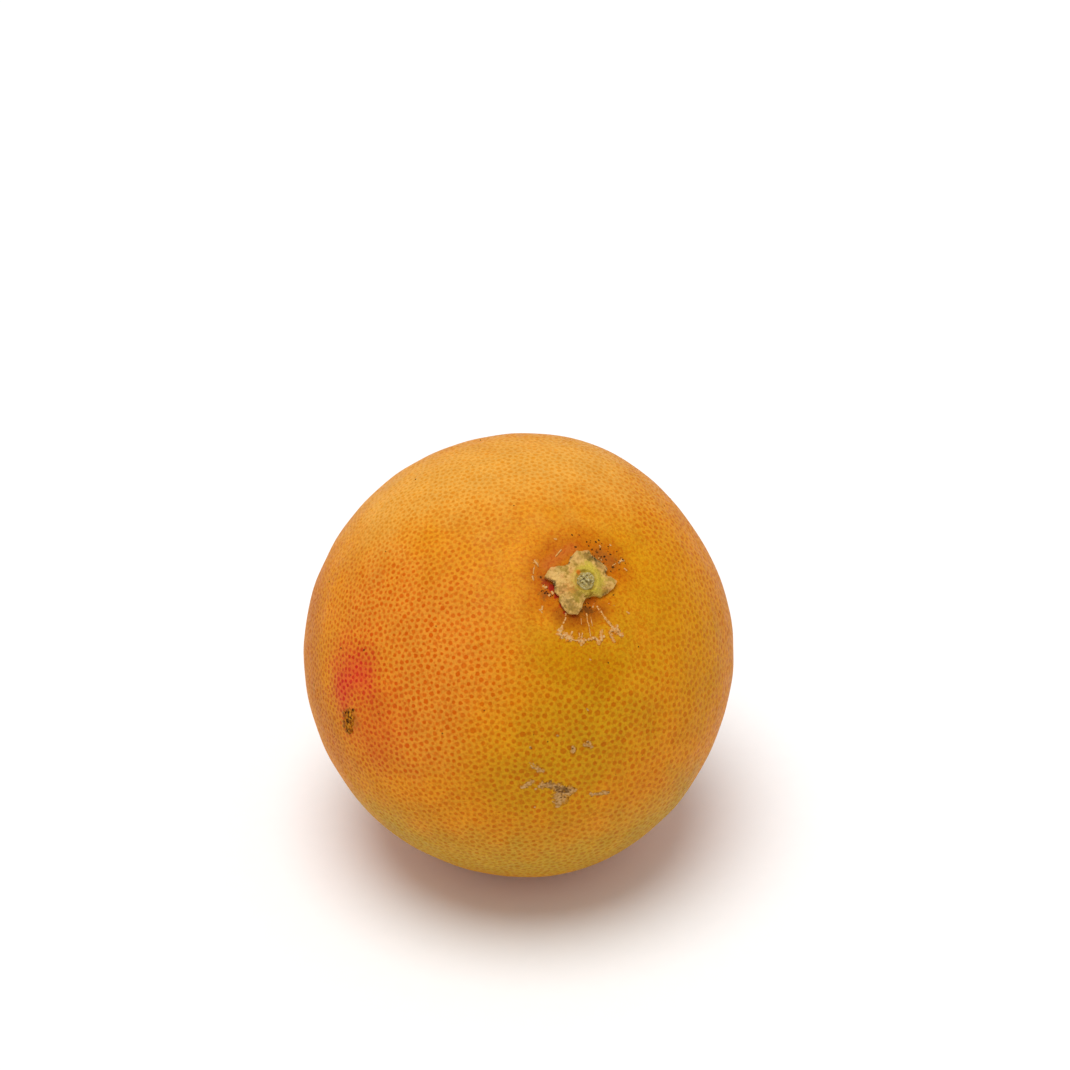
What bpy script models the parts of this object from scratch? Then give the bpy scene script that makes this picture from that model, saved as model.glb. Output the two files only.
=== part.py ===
"""A grapefruit lying partly on its side: the fruit, its dried calyx and the woody end of its stem.

Metres, +Z up. The origin is on the surface that the fruit rests on, under the middle of its box.
In the fruit's own axes the stem is at +Z, and the fruit is then tipped over as it lies.
"""

import bmesh
import bpy
import numpy as np
from mathutils import Euler, Vector

MM = 0.001

# The fruit's body: an ellipsoid a little wider one way than the other, with broad low swells on it
EQUATOR_LONG = 52.3 * MM
EQUATOR_SHORT = 50.85 * MM
HALF_HEIGHT = 49.5 * MM
EQUATOR_TURN = -27.7
SWELL_SPREAD = 22.0
SWELLS = (
    # longitude, angle from the stem, height
    (-92, 97, 0.65 * MM),
    (55, 62, 0.95 * MM),
    (-43, 76, -0.45 * MM),
    (16, 61, -0.2 * MM),
    (-173, 106, -0.35 * MM),
    (-17, 67, 0.25 * MM),
    (162, 100, 0.2 * MM),
    (-127, 106, -0.3 * MM),
)

# The stem cavity with its faint folds, and the dimple at the blossom end with its scar
CAVITY_DEPTH = 1.0 * MM
CAVITY_SPREAD = 10.0
FOLD_COUNT = 7
FOLD_DEPTH = 0.12 * MM
FOLD_PLACE = 15.0
FOLD_SPREAD = 6.0
DIMPLE_DEPTH = 0.9 * MM
DIMPLE_SPREAD = 7.0
SCAR_HEIGHT = 0.5 * MM
SCAR_SPREAD = 2.2

# The pits of the peel, fewer and larger than on the real fruit, each in its own cell of raised net
PIT_COUNT = 1800
PIT_DEPTH = 0.26 * MM
PIT_FREE_ANGLE = 11.0
PIT_FULL_ANGLE = 26.0
NET_CREASE = 9.0
SEED = 11

# How the fruit lies, and how much of it the flat spot takes away
TILT = 39.6
TURN = 26.8
FLAT_PRESS = 0.8 * MM

# The calyx and the stem's end
GAP = 0.3 * MM
RIM_CREASE = 50.0
CALYX_COLUMNS = 96
STUB_COLUMNS = 32
STUB_RADIUS = 1.95 * MM
SOCKET_RADIUS = STUB_RADIUS + GAP
COLLAR_CREST = 2.85 * MM
COLLAR_FOOT = 3.5 * MM
SEPAL_HEIGHT = 1.15 * MM
COLLAR_HEIGHT = 2.5 * MM
SOCKET_HEIGHT = 1.0 * MM
STUB_HEIGHT = 2.7 * MM
# The corners of the five blunt lobes and of the notches between them, across the stem in millimetres
CALYX_OUTLINE = (
    (7.4, -1.8),
    (6.1, 0.0),
    (5.7, 1.0),
    (6.6, 1.75),
    (6.1, 3.0),
    (4.6, 4.5),
    (4.2, 5.4),
    (3.7, 6.6),
    (1.1, 7.2),
    (-0.3, 6.2),
    (-1.4, 5.0),
    (-2.8, 4.7),
    (-5.2, 5.1),
    (-7.5, 3.7),
    (-6.5, 2.4),
    (-6.2, 1.2),
    (-6.5, 0.3),
    (-5.9, -1.2),
    (-6.8, -2.4),
    (-5.8, -5.5),
    (-3.9, -6.3),
    (-2.35, -4.9),
    (-1.4, -4.1),
    (1.2, -3.7),
    (2.0, -4.3),
    (4.4, -3.8),
    (6.5, -2.5),
)

LYING = Euler((np.radians(TILT), 0.0, np.radians(TURN)))


def clear_scene():
    for item in list(bpy.data.objects):
        bpy.data.objects.remove(item, do_unlink=True)


def finish(name, body, crease):
    """Turns a bmesh into an object that is shaded smooth but for edges sharper than the crease angle."""
    mesh = bpy.data.meshes.new(name)
    body.to_mesh(mesh)
    body.free()
    mesh.shade_smooth()
    mesh.set_sharp_from_angle(angle=np.radians(crease))
    piece = bpy.data.objects.new(name, mesh)
    bpy.context.scene.collection.objects.link(piece)
    return piece


def paint(piece, colour, roughness):
    material = bpy.data.materials.new(piece.name)
    material.use_nodes = True
    shader = material.node_tree.nodes["Principled BSDF"]
    shader.inputs["Base Color"].default_value = (*colour, 1.0)
    shader.inputs["Roughness"].default_value = roughness
    shader.inputs["Metallic"].default_value = 0.0
    piece.data.materials.append(material)


def direction(longitude, from_stem):
    """Unit vectors from angles in radians."""
    across = np.sin(from_stem)
    return np.stack((across * np.cos(longitude), across * np.sin(longitude), np.cos(from_stem)), axis=-1)


def bell(angle, spread):
    """A smooth bump that falls to about a third at its spread, from angles in radians and degrees."""
    return np.exp(-((angle / np.radians(spread)) ** 2))


def fruit_radius(ways):
    """Distance from the fruit's centre to its skin, without pits, along unit vectors."""
    turn = np.radians(EQUATOR_TURN)
    x = ways[:, 0] * np.cos(turn) + ways[:, 1] * np.sin(turn)
    y = ways[:, 1] * np.cos(turn) - ways[:, 0] * np.sin(turn)
    z = ways[:, 2]
    radius = 1.0 / np.sqrt((x / EQUATOR_SHORT) ** 2 + (y / EQUATOR_LONG) ** 2 + (z / HALF_HEIGHT) ** 2)
    for longitude, from_stem, height in SWELLS:
        middle = direction(np.radians(longitude), np.radians(from_stem))
        radius += height * bell(np.arccos(np.clip(ways @ middle, -1, 1)), SWELL_SPREAD)
    from_stem = np.arccos(np.clip(z, -1, 1))
    around = np.arctan2(ways[:, 1], ways[:, 0])
    radius -= CAVITY_DEPTH * bell(from_stem, CAVITY_SPREAD)
    folds = 0.5 + 0.5 * np.cos(FOLD_COUNT * around + np.sin(2 * around))
    radius -= FOLD_DEPTH * folds * bell(from_stem - np.radians(FOLD_PLACE), FOLD_SPREAD)
    radius -= DIMPLE_DEPTH * bell(np.pi - from_stem, DIMPLE_SPREAD)
    radius += SCAR_HEIGHT * bell(np.pi - from_stem, SCAR_SPREAD)
    return radius


def spread_ways(count):
    """Unit vectors spread over a sphere as pits are: a golden spiral, shaken, then pushed apart."""
    shake, steps, reach, push = 0.35, 14, 0.5, 0.5
    spacing = np.sqrt(4 * np.pi / count)
    index = np.arange(count) + 0.5
    ways = direction(np.pi * (1 + np.sqrt(5)) * index, np.arccos(1 - 2 * index / count))
    ways += np.random.default_rng(SEED).normal(0, shake * spacing, ways.shape)
    for _ in range(steps):
        ways /= np.linalg.norm(ways, axis=1, keepdims=True)
        pull = np.exp((ways @ ways.T - 1) / (reach * spacing) ** 2)
        np.fill_diagonal(pull, 0)
        ways += push * (pull.sum(axis=1, keepdims=True) * ways - pull @ ways)
    return ways / np.linalg.norm(ways, axis=1, keepdims=True)


def net_ball(middles):
    """A ball of cells, one round each of the given points, with the net running between them."""
    ball = bmesh.new()
    for middle in middles:
        ball.verts.new(middle)
    bmesh.ops.convex_hull(ball, input=ball.verts[:])
    bmesh.ops.recalc_face_normals(ball, faces=ball.faces[:])
    between_pits = ball.edges[:]
    bmesh.ops.poke(ball, faces=ball.faces[:])
    bmesh.ops.rotate_edges(ball, edges=between_pits, use_ccw=True)
    return ball


def press_flat(points):
    """Moves what would lie lower than the flat spot straight up to it."""
    down = np.array(LYING.to_matrix().transposed() @ Vector((0, 0, -1)))
    depth = points @ down
    over = np.maximum(depth - (depth.max() - FLAT_PRESS), 0)
    return points - over[:, None] * down


def make_fruit():
    ball = net_ball(spread_ways(PIT_COUNT))
    points = np.array([corner.co[:] for corner in ball.verts], dtype=float)
    ways = points / np.linalg.norm(points, axis=1, keepdims=True)
    from_stem = np.degrees(np.arccos(np.clip(ways[:, 2], -1, 1)))
    sunk = np.clip((from_stem - PIT_FREE_ANGLE) / (PIT_FULL_ANGLE - PIT_FREE_ANGLE), 0, 1)
    sunk[PIT_COUNT:] = 0
    points = press_flat(ways * (fruit_radius(ways) - PIT_DEPTH * sunk)[:, None])
    for corner, place in zip(ball.verts, points):
        corner.co = place
    return finish("fruit", ball, NET_CREASE)


def outline_reach(around):
    """How far the calyx reaches at each angle, straight from corner to corner."""
    corners = np.array(CALYX_OUTLINE) * MM
    angle = np.arctan2(corners[:, 1], corners[:, 0])
    order = np.argsort(angle)
    return np.interp(around, angle[order], np.hypot(*corners[order].T), period=2 * np.pi)


def turned_body(name, rows, columns):
    """A closed body round the stem. Each row is a radius and a height over the skin, from its underside up."""
    around = np.linspace(-np.pi, np.pi, columns, endpoint=False)
    body = bmesh.new()
    rings = []
    for radius, height in rows:
        radius = np.broadcast_to(radius, around.shape)
        ways = direction(around, radius / HALF_HEIGHT)
        places = ways * (fruit_radius(ways) + height)[:, None]
        if radius.max() == 0:
            rings.append([body.verts.new(places[0])] * columns)
        else:
            rings.append([body.verts.new(place) for place in places])
    for low, high in zip(rings[:-1], rings[1:]):
        for i in range(columns):
            j = (i + 1) % columns
            corners = dict.fromkeys((low[i], low[j], high[j], high[i]))
            body.faces.new(tuple(corners))
    bmesh.ops.recalc_face_normals(body, faces=body.faces[:])
    return finish(name, body, RIM_CREASE)


def make_calyx():
    around = np.linspace(-np.pi, np.pi, CALYX_COLUMNS, endpoint=False)
    reach = outline_reach(around)

    def part_way(share):
        return COLLAR_FOOT + share * (reach - COLLAR_FOOT)

    ripple = 0.12 * MM * np.sin(5 * around + 1.0)
    rows = (
        (0.0, GAP),
        (SOCKET_RADIUS, GAP),
        (COLLAR_FOOT, GAP),
        (part_way(0.5), GAP),
        (part_way(0.93), GAP),
        (reach, GAP + 0.2 * MM),
        (reach, SEPAL_HEIGHT - 0.25 * MM),
        (part_way(0.9), SEPAL_HEIGHT + ripple),
        (part_way(0.5), SEPAL_HEIGHT + 0.05 * MM - ripple),
        (part_way(0.1), SEPAL_HEIGHT + 0.1 * MM),
        (0.6 * COLLAR_CREST + 0.4 * COLLAR_FOOT, COLLAR_HEIGHT - 0.35 * MM),
        (COLLAR_CREST, COLLAR_HEIGHT),
        (0.5 * (COLLAR_CREST + SOCKET_RADIUS), COLLAR_HEIGHT - 0.05 * MM),
        (SOCKET_RADIUS, COLLAR_HEIGHT - 0.35 * MM),
        (SOCKET_RADIUS, SOCKET_HEIGHT),
        (0.0, SOCKET_HEIGHT),
    )
    return turned_body("calyx", rows, CALYX_COLUMNS)


def make_stem_stub():
    floor = SOCKET_HEIGHT + GAP
    rows = (
        (0.0, floor),
        (0.9 * STUB_RADIUS, floor),
        (STUB_RADIUS, floor + 0.2 * MM),
        (STUB_RADIUS, STUB_HEIGHT - 0.35 * MM),
        (0.88 * STUB_RADIUS, STUB_HEIGHT),
        (0.6 * STUB_RADIUS, STUB_HEIGHT - 0.05 * MM),
        (0.35 * STUB_RADIUS, STUB_HEIGHT - 0.3 * MM),
        (0.0, STUB_HEIGHT - 0.35 * MM),
    )
    return turned_body("stem_stub", rows, STUB_COLUMNS)


def lay_down(pieces, fruit):
    """Tips the pieces over as the fruit lies, with the middle of its box over the origin and its foot at zero."""
    turn = LYING.to_matrix()
    places = np.array([(turn @ corner.co)[:] for corner in fruit.data.vertices])
    low, high = places.min(axis=0), places.max(axis=0)
    holder = bpy.data.objects.new("grapefruit", None)
    bpy.context.scene.collection.objects.link(holder)
    holder.location = (-(low[0] + high[0]) / 2, -(low[1] + high[1]) / 2, -low[2])
    holder.rotation_euler = LYING
    for piece in pieces:
        piece.parent = holder


def main():
    clear_scene()
    fruit = make_fruit()
    calyx = make_calyx()
    stub = make_stem_stub()
    paint(fruit, (0.78, 0.30, 0.035), 0.42)
    paint(calyx, (0.50, 0.36, 0.14), 0.8)
    paint(stub, (0.42, 0.38, 0.26), 0.85)
    lay_down((fruit, calyx, stub), fruit)


main()
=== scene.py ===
"""The look of a grapefruit: pitted peel with blush, scars and specks, a dried calyx and the stem's end.

Metres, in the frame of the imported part. Shapes are worked out in the fruit's own axes, with the stem
at +Z, and then laid down as the fruit lies. Angles in tables are degrees, and pixels are the photograph's.
"""

import bmesh
import bpy
import numpy as np
from mathutils import Euler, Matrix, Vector


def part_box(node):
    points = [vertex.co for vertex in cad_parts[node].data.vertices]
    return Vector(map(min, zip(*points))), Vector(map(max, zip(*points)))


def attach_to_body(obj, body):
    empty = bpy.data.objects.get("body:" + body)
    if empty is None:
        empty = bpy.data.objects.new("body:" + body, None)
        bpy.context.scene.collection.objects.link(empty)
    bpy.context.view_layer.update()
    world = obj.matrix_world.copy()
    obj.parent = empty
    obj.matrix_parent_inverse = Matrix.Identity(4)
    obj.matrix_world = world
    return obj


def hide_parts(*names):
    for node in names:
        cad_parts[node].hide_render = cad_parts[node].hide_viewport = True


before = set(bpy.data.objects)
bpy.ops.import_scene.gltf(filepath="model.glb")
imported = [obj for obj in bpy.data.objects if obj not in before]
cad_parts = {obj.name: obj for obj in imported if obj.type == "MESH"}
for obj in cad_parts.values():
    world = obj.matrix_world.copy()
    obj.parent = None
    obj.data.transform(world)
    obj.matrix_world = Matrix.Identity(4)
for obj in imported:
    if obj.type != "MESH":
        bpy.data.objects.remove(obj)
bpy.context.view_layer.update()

MM = 0.001

# The body of the fruit, with the same named values as the part's source
EQUATOR_LONG = 52.3 * MM
EQUATOR_SHORT = 50.85 * MM
HALF_HEIGHT = 49.5 * MM
EQUATOR_TURN = -27.7
SWELL_SPREAD = 22.0
SWELLS = (
    # longitude, angle from the stem, height
    (-92, 97, 0.65 * MM),
    (55, 62, 0.95 * MM),
    (-43, 76, -0.45 * MM),
    (16, 61, -0.2 * MM),
    (-173, 106, -0.35 * MM),
    (-17, 67, 0.25 * MM),
    (162, 100, 0.2 * MM),
    (-127, 106, -0.3 * MM),
)
CAVITY_DEPTH = 1.0 * MM
CAVITY_SPREAD = 10.0
FOLD_COUNT = 7
FOLD_DEPTH = 0.12 * MM
FOLD_PLACE = 15.0
FOLD_SPREAD = 6.0
DIMPLE_DEPTH = 0.9 * MM
DIMPLE_SPREAD = 7.0
SCAR_HEIGHT = 0.5 * MM
SCAR_SPREAD = 2.2
TILT = 39.6
TURN = 26.8
LYING = np.array(Euler((np.radians(TILT), 0.0, np.radians(TURN))).to_matrix())

# The camera about the fruit's centre, for a photograph of this many pixels a side
PHOTO_SIDE = 1070
FOCAL_PIXELS = 1970.0
SENSOR = 36.0
CAMERA_DISTANCE = 0.469
CAMERA_ELEVATION = 34.9
CAMERA_AZIMUTH = 0.5
CAMERA_DOWN = 31.468
CAMERA_HEADING = 0.056
CAST_STEPS = 60

# The pits of the peel, a little wider apart near the stem and closer towards the other end and one side.
# Their sizes and tones differ from one to the next, and they fade out near the stem.
PIT_COUNT = 14200
PIT_SEED = 11
# The crowding at each end is how much is added there, and how many degrees it spreads.
STEM_CROWDING = (-0.1, 26.0)
BLOSSOM_CROWDING = (0.3, 22.0)
CROWDED_SIDE = np.array((-0.14, 0.1, -0.02))
RING = 0.8
PIT_DEPTH = 0.12 * MM
SHALLOWEST_PIT = 0.15
PIT_SIZE_SPREAD = 0.12
PIT_SIZES = (0.65, 1.25)
PIT_TONES = (0.68, 1.0)
PIT_FREE_ANGLE = 9.0
PIT_FULL_ANGLE = 33.0
UNEVEN_HEIGHT = 0.05 * MM
UNEVEN_SIZE = 9.0 * MM


def direction(longitude, from_stem):
    """Unit vectors from angles in radians."""
    across = np.sin(from_stem)
    parts = np.broadcast_arrays(across * np.cos(longitude), across * np.sin(longitude), np.cos(from_stem))
    return np.stack(parts, axis=-1)


def unit(vectors):
    return vectors / np.linalg.norm(vectors, axis=-1, keepdims=True)


def bell(angle, spread):
    """A smooth bump that falls to about a third at its spread, from angles in radians and degrees."""
    return np.exp(-((angle / np.radians(spread)) ** 2))


def fade(value, start, end):
    """0 up to start, 1 from end on, and a smooth step between them. Start may be above end."""
    part = np.clip((value - start) / (end - start), 0, 1)
    return part * part * (3 - 2 * part)


def cloud(points, size, seed):
    """Smooth seeded noise of about unit height: the sum of plane waves of about that length in random
    directions."""
    waves, shortest, longest = 24, 0.6, 1.6
    rng = np.random.default_rng(seed)
    ways = unit(rng.normal(size=(waves, 3))).T
    pace = 2 * np.pi / (size * rng.uniform(shortest, longest, waves))
    phases = rng.uniform(0, 2 * np.pi, waves)
    return np.sin(points @ (ways * pace) + phases).sum(axis=-1) * np.sqrt(2 / waves)


def fruit_radius(ways):
    """Distance from the fruit's centre to its skin, without pits, along unit vectors: an ellipsoid's
    radius, plus the swells, less the stem cavity with its folds, less the blossom end's dimple."""
    turn = np.radians(EQUATOR_TURN)
    x = ways[..., 0] * np.cos(turn) + ways[..., 1] * np.sin(turn)
    y = ways[..., 1] * np.cos(turn) - ways[..., 0] * np.sin(turn)
    z = ways[..., 2]
    radius = 1.0 / np.sqrt((x / EQUATOR_SHORT) ** 2 + (y / EQUATOR_LONG) ** 2 + (z / HALF_HEIGHT) ** 2)
    for longitude, from_stem, height in SWELLS:
        middle = direction(np.radians(longitude), np.radians(from_stem))
        radius += height * bell(np.arccos(np.clip(ways @ middle, -1, 1)), SWELL_SPREAD)
    from_stem = np.arccos(np.clip(z, -1, 1))
    around = np.arctan2(ways[..., 1], ways[..., 0])
    radius -= CAVITY_DEPTH * bell(from_stem, CAVITY_SPREAD)
    folds = 0.5 + 0.5 * np.cos(FOLD_COUNT * around + np.sin(2 * around))
    radius -= FOLD_DEPTH * folds * bell(from_stem - np.radians(FOLD_PLACE), FOLD_SPREAD)
    radius -= DIMPLE_DEPTH * bell(np.pi - from_stem, DIMPLE_SPREAD)
    radius += SCAR_HEIGHT * bell(np.pi - from_stem, SCAR_SPREAD)
    return radius


def find_centre():
    """The fruit's centre in the frame: its formula's box is set in the middle of the CAD fruit's box,
    with the same top."""
    columns, rows = 360, 181
    longitude = np.linspace(-np.pi, np.pi, columns)
    from_stem = np.linspace(0, np.pi, rows)
    ways = direction(longitude, from_stem[:, None]).reshape(-1, 3)
    places = (ways * fruit_radius(ways)[:, None]) @ LYING.T
    low, high = places.min(axis=0), places.max(axis=0)
    box_low, box_high = (np.array(corner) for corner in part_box("fruit"))
    centre = (box_low + box_high - low - high) / 2
    centre[2] = box_high[2] - high[2]
    return centre


CENTRE = find_centre()


def lay_down(points):
    """From the fruit's own axes into the frame. What would lie below the flat spot is pressed up to it."""
    places = points @ LYING.T + CENTRE
    places[..., 2] = np.maximum(places[..., 2], 0.0)
    return places


def over_skin(ways, height):
    """Points at a height over the peel, in the fruit's axes."""
    return ways * (fruit_radius(ways) + height)[..., None]


def camera_axes():
    """The camera's place about the fruit's centre, and its sideways, upward and forward directions."""
    azimuth, elevation = np.radians(CAMERA_AZIMUTH), np.radians(CAMERA_ELEVATION)
    heading, down = np.radians(CAMERA_HEADING), np.radians(CAMERA_DOWN)
    place = CAMERA_DISTANCE * np.array(
        (np.sin(azimuth) * np.cos(elevation), -np.cos(azimuth) * np.cos(elevation), np.sin(elevation))
    )
    forward = np.array((np.sin(heading) * np.cos(down), np.cos(heading) * np.cos(down), -np.sin(down)))
    sideways = np.array((np.cos(heading), -np.sin(heading), 0.0))
    return place, sideways, np.cross(sideways, forward), forward


def cast(pixels, lift=0.0):
    """Unit vectors, in the fruit's axes, to the skin under pixels of the photograph, or to a surface
    lifted over it. Each ray starts at the camera and moves on by its height over that surface until it
    meets it."""
    place, sideways, upward, forward = camera_axes()
    offset = (np.asarray(pixels, float) - PHOTO_SIDE / 2) / FOCAL_PIXELS
    rays = unit(forward + offset[:, :1] * sideways - offset[:, 1:] * upward)
    travelled = np.full(len(rays), CAMERA_DISTANCE - EQUATOR_LONG)
    for _ in range(CAST_STEPS):
        points = (place + rays * travelled[:, None]) @ LYING
        distance = np.linalg.norm(points, axis=1)
        travelled += distance - fruit_radius(points / distance[:, None]) - lift
    return unit(points)


def angles(pairs):
    """Unit vectors from pairs of longitude and angle from the stem, in degrees."""
    longitude, from_stem = np.radians(np.asarray(pairs, float)).T
    return direction(longitude, from_stem)


def on_skin(ways, lift=0.0):
    """Places in the frame, over the skin along unit vectors."""
    return lay_down(over_skin(ways, lift))


# Meshes


def surface(name, points, *blocks):
    """An object from points in the fruit's axes and blocks of faces, one row of corner numbers a face."""
    mesh = bpy.data.meshes.new(name)
    corners = np.concatenate([block.ravel() for block in blocks]).astype(np.int32)
    sizes = np.concatenate([np.full(len(block), block.shape[1], np.int32) for block in blocks])
    mesh.vertices.add(len(points))
    mesh.vertices.foreach_set("co", lay_down(points).astype(np.float32).ravel())
    mesh.loops.add(len(corners))
    mesh.loops.foreach_set("vertex_index", corners)
    mesh.polygons.add(len(sizes))
    mesh.polygons.foreach_set("loop_start", (np.cumsum(sizes) - sizes).astype(np.int32))
    mesh.update(calc_edges=True)
    mesh.validate()
    mesh.shade_smooth()
    piece = bpy.data.objects.new(name, mesh)
    bpy.context.scene.collection.objects.link(piece)
    return piece


def keep(piece, name, values, domain="POINT"):
    """Stores numbers on a piece for its material: one a corner or face, or three a corner."""
    if values.ndim == 2:
        layer = piece.data.attributes.new(name, "FLOAT_VECTOR", domain)
        layer.data.foreach_set("vector", values.astype(np.float32).ravel())
    else:
        layer = piece.data.attributes.new(name, "FLOAT", domain)
        layer.data.foreach_set("value", values.astype(np.float32))


def closed_faces(rows, columns):
    """Triangles and quads over a first pole, rings of points from it outwards, and a last pole."""
    ring = np.arange(rows * columns).reshape(rows, columns) + 1
    following = np.roll(ring, -1, axis=1)
    first = np.stack((np.zeros(columns, int), ring[0], following[0]), axis=-1)
    last = np.stack((following[-1], ring[-1], np.full(columns, rows * columns + 1)), axis=-1)
    quads = np.stack((ring[:-1], ring[1:], following[1:], following[:-1]), axis=-1).reshape(-1, 4)
    return np.concatenate((first, last)), quads


def with_poles(first, rings, last):
    """The points or values of a closed body in the order that closed_faces numbers them."""
    return np.concatenate(([first], rings.reshape(-1, *rings.shape[2:]), [last]))


# Materials


def colour(red, green, blue):
    """A colour as a screen shows it, from 0 to 255, as the linear one that a shader takes."""
    shown = np.array((red, green, blue)) / 255
    return (*np.where(shown > 0.04045, ((shown + 0.055) / 1.055) ** 2.4, shown / 12.92), 1.0)


class Finish:
    """A material in the making. Each call adds a node and gives back what comes out of it."""

    def __init__(self, name):
        self.material = bpy.data.materials.new(name)
        self.material.use_nodes = True
        self.tree = self.material.node_tree
        self.shader = self.tree.nodes["Principled BSDF"]
        self.place = self.node("ShaderNodeTexCoord", {}, "Object")

    def feed(self, socket, value):
        if isinstance(value, bpy.types.NodeSocket):
            self.tree.links.new(value, socket)
        else:
            socket.default_value = value

    def node(self, kind, inputs, output, **settings):
        item = self.tree.nodes.new(kind)
        for key, value in settings.items():
            setattr(item, key, value)
        for key, value in inputs.items():
            self.feed(item.inputs[key], value)
        return item.outputs[output]

    def noise(self, size, detail, at=None):
        """Noise from 0 to 1, mostly between 0.3 and 0.7, whose lumps have about the given size."""
        inputs = {"Vector": self.place if at is None else at, "Scale": 1 / size, "Detail": detail}
        return self.node("ShaderNodeTexNoise", inputs, "Fac")

    def sum(self, kind, first, second=0.0):
        """One step of arithmetic between numbers or sockets."""
        return self.node("ShaderNodeMath", {0: first, 1: second}, "Value", operation=kind)

    def ramp(self, value, start, end, low=0.0, high=1.0):
        """A smooth step from low to high as the value goes from start to end."""
        inputs = {"Value": value, "From Min": start, "From Max": end, "To Min": low, "To Max": high}
        return self.node("ShaderNodeMapRange", inputs, "Result", interpolation_type="SMOOTHSTEP")

    def wander(self, size, detail, noise=(0.3, 0.7), value=(0.0, 1.0)):
        """A number that goes smoothly from one value to the other as noise of that size goes through its
        own range."""
        return self.ramp(self.noise(size, detail), *noise, *value)

    def mix(self, share, first, second):
        return self.node("ShaderNodeMix", {0: share, 6: first, 7: second}, 2, data_type="RGBA")

    def product(self, first, second):
        return self.sum("MULTIPLY", first, second)

    def stored(self, name, output="Fac"):
        return self.node("ShaderNodeAttribute", {}, output, attribute_name=name)

    def bump(self, height, distance, before=None):
        inputs = {"Height": height, "Distance": distance, "Strength": 1.0}
        if before is not None:
            inputs["Normal"] = before
        return self.node("ShaderNodeBump", inputs, "Normal")

    def stained(self, base, middles, table, jagged):
        """The colour with stains over it, of which the table gives the inner and outer radius in
        millimetres, the strength and the colour. Their edges shift by up to that many millimetres."""
        scaled = {0: self.place, "Scale": 1 / MM}
        place = self.node("ShaderNodeVectorMath", scaled, "Vector", operation="SCALE")
        wavy = self.wander(0.7 * MM, 4.0, noise=(0.2, 0.8), value=(-jagged, jagged))
        for middle, (inner, outer, strong, tone) in zip(middles, table):
            ends = {0: place, 1: tuple(middle / MM)}
            distance = self.node("ShaderNodeVectorMath", ends, "Value", operation="DISTANCE")
            share = self.ramp(self.sum("ADD", distance, wavy), outer, inner, 0.0, strong)
            base = self.mix(share, base, colour(*tone))
        return base

    def stained_at_pixels(self, base, table, jagged, lift=0.0):
        """The same with each stain's pixel in front of it in the table."""
        middles = on_skin(cast([row[0] for row in table], lift), lift)
        return self.stained(base, middles, [row[1:] for row in table], jagged)

    def dress(self, piece, base, roughness, normal, specular):
        self.feed(self.shader.inputs["Base Color"], base)
        self.feed(self.shader.inputs["Roughness"], roughness)
        self.feed(self.shader.inputs["Normal"], normal)
        self.shader.inputs["Specular IOR Level"].default_value = specular
        piece.data.materials.append(self.material)


# The peel

# Its colours, each for the net and for the pits' spots, from 0 to 255 as a screen shows them
PEEL_COLOURS = {
    "ground": ((222, 144, 24), (205, 106, 0)),
    "warm": ((222, 140, 42), (205, 89, 2)),
    "yellow": ((212, 144, 14), (198, 110, 0)),
    "olive": ((202, 145, 16), (188, 103, 0)),
    "amber": ((196, 133, 4), (184, 97, 0)),
    "ochre": ((192, 150, 42), (178, 112, 6)),
    # Paler on top: a painted sheen from the light overhead, laid on the skin's colour
    "pale": ((230, 166, 70), (220, 141, 34)),
    "rose": ((209, 130, 36), (187, 91, 4)),
    "glow": ((219, 122, 30), (201, 71, 4)),
    "blush": ((220, 96, 36), (198, 24, 22)),
    "halo": ((194, 106, 4), (178, 82, 0)),
    "pink": ((202, 108, 40), (188, 80, 26)),
    "brown": ((166, 90, 10), (148, 68, 2)),
    "green": ((178, 148, 30), (158, 118, 8)),
}
# The colours that spread further in the spots than in the net
RUDDY = ("glow", "blush")
# Where each colour is: full strength within the first distance of its middle line and none past the
# second, in millimetres, how strong it is, and the line itself in pixels
SEEN_ZONES = (
    ("warm", 3, 25, 1.0, ((380, 610), (440, 655), (400, 715))),
    ("yellow", 3, 22, 1.0, ((640, 570), (690, 620), (700, 680))),
    ("olive", 1, 24, 1.0, ((592, 665), (600, 720), (545, 775))),
    ("amber", 1, 9, 0.9, ((562, 655), (600, 668))),
    ("ochre", 2, 24, 1.0, ((400, 835), (530, 868), (665, 815))),
    # The pale zone over the top is a painted sheen, not a colour of the skin
    ("pale", 3, 28, 1.0, ((404, 486), (480, 463), (580, 456))),
    ("rose", 1, 10, 0.9, ((316, 590), (311, 650), (320, 705), (338, 748))),
    ("glow", 2, 15, 0.95, ((354, 668), (368, 700), (371, 728))),
    ("blush", 0, 9.2, 1.0, ((343, 685), (357, 672))),
    ("halo", 0.2, 7.0, 0.95, ((545, 600), (540, 575), (556, 552), (582, 544), (606, 554), (614, 572))),
    ("halo", 0.2, 5.6, 0.8, ((545, 600), (562, 614), (578, 618), (602, 606))),
    ("pink", 0.2, 2.2, 0.6, ((548, 566), (560, 555), (572, 548))),
    ("brown", 0.3, 3.2, 0.8, ((562, 617), (580, 620), (600, 610))),
)
# The same for the sides that the photograph doesn't show, with longitude and angle from the stem
UNSEEN_ZONES = (
    ("glow", 4, 14, 0.7, ((70, 98), (84, 108))),
    ("blush", 0, 12, 0.35, ((76, 101), (80, 106))),
    ("warm", 6, 22, 0.8, ((95, 108), (135, 120))),
    ("yellow", 8, 24, 0.8, ((0, 120), (40, 135))),
    ("ochre", 2, 26, 0.8, ((100, 165), (-60, 165))),
    ("green", 0, 22, 0.25, ((0, 172), (120, 172))),
)
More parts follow.
